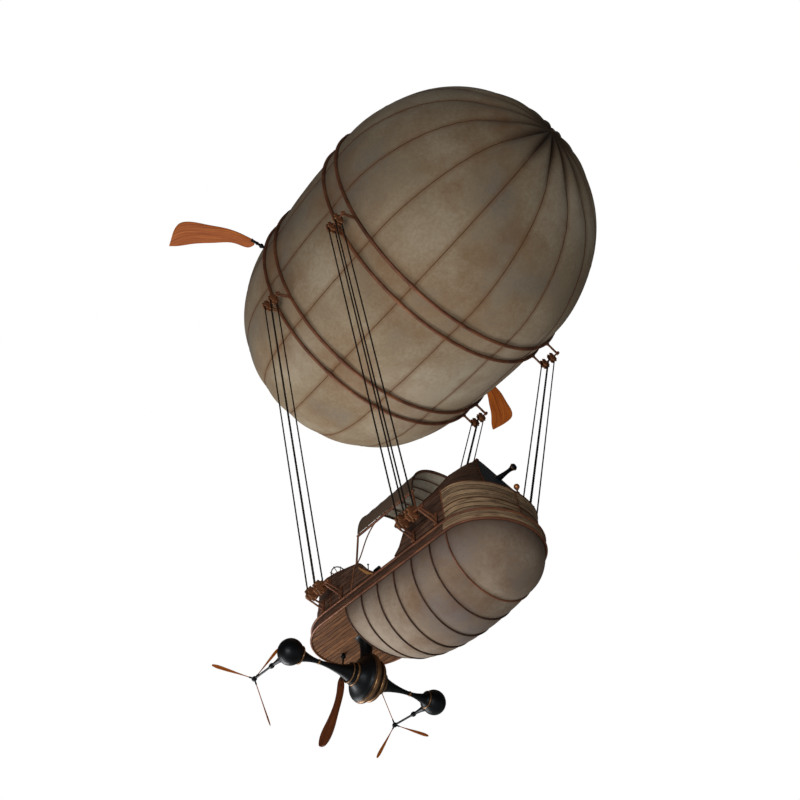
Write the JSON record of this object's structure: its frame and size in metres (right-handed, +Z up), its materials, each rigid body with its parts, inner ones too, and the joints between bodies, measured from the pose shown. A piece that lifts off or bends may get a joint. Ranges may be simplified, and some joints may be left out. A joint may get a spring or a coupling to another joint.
{
  "type": "airship",
  "caption": "Small airship: hooped canvas envelope over a roped boat hull with a canvas belly, canopy, hooded prow, twin aft propellers on one engine, rudder and side fins.",
  "frame": {"origin": "centre of the envelope, where its gas holds the airship up", "axes": "+X forward to the nose, +Y to port, +Z up"},
  "size_m": [14.3703, 15.77, 20.735],
  "materials": {
    "canvas": "weathered parchment canvas",
    "copper": "red-brown aged copper",
    "rope": "tarred rope",
    "dark_planks": "dark weathered planks",
    "deck_planks": "narrow oiled planks",
    "orange_wood": "varnished orange wood",
    "red_wood": "red-brown stained wood",
    "steel": "blackened steel",
    "slate": "slate blue paint"
  },
  "bodies": {
    "airship": {"envelope": "canvas", "hoop_fore_outer": "copper", "hoop_fore_inner": "copper", "hoop_aft_inner": "copper", "hoop_aft_outer": "copper", "nose_cap": "steel", "tail_ring": "copper", "upper_bracket_fore_starboard": "copper", "lower_bracket_fore_starboard": "copper", "rope_a_fore_starboard": "rope", "rope_b_fore_starboard": "rope", "upper_bracket_fore_port": "copper", "lower_bracket_fore_port": "copper", "rope_a_fore_port": "rope", "rope_b_fore_port": "rope", "upper_bracket_aft_starboard": "copper", "lower_bracket_aft_starboard": "copper", "rope_a_aft_starboard": "rope", "rope_b_aft_starboard": "rope", "upper_bracket_aft_port": "copper", "lower_bracket_aft_port": "copper", "rope_a_aft_port": "rope", "rope_b_aft_port": "rope", "deck": "deck_planks", "rail_upper": "copper", "rail_lower": "copper", "belly": "canvas", "wall_aft_starboard": "dark_planks", "wall_fore_starboard": "dark_planks", "wall_aft_port": "dark_planks", "wall_fore_port": "dark_planks", "wall_stern": "dark_planks", "wall_bow": "dark_planks", "hood": "dark_planks", "prow_panel": "slate", "canopy": "canvas", "canopy_frame": "copper", "canopy_hoops": "copper", "belly_rib_1": "copper", "belly_rib_2": "copper", "belly_rib_3": "copper", "belly_rib_4": "copper", "belly_rib_5": "copper", "belly_rib_6": "copper", "belly_rib_7": "copper", "engine": "steel", "pylon": "steel", "rudder_post": "steel", "fin_link_starboard": "steel", "fin_link_port": "steel", "barrel": "steel", "lamp": "copper"},
    "propeller_starboard": {"propeller_starboard": "orange_wood"},
    "propeller_port": {"propeller_port": "orange_wood"},
    "rudder": {"rudder": "red_wood"},
    "fin_starboard": {"fin_starboard": "orange_wood"},
    "fin_port": {"fin_port": "orange_wood"}
  },
  "joints": [
    {"name": "propeller_starboard_spin", "type": "hinge", "parent": "airship", "child": "propeller_starboard", "pos_m": [-4.135, -2.2225, -14.5675], "axis": [1, 0, 0], "continuous": true},
    {"name": "propeller_port_spin", "type": "hinge", "parent": "airship", "child": "propeller_port", "pos_m": [-4.135, 2.2225, -14.5675], "axis": [1, 0, 0], "continuous": true},
    {"name": "rudder_turn", "type": "hinge", "parent": "airship", "child": "rudder", "pos_m": [-3.5, 0, -14.1], "axis": [0, 0, 1], "range_deg": [-35, 35]},
    {"name": "fin_starboard_tilt", "type": "hinge", "parent": "airship", "child": "fin_starboard", "pos_m": [-2.21, -5.35, 0], "axis": [0, 1, 0], "range_deg": [-25, 25]},
    {"name": "fin_port_tilt", "type": "hinge", "parent": "airship", "child": "fin_port", "pos_m": [-2.21, 5.35, 0], "axis": [0, 1, 0], "range_deg": [-25, 25]}
  ]
}
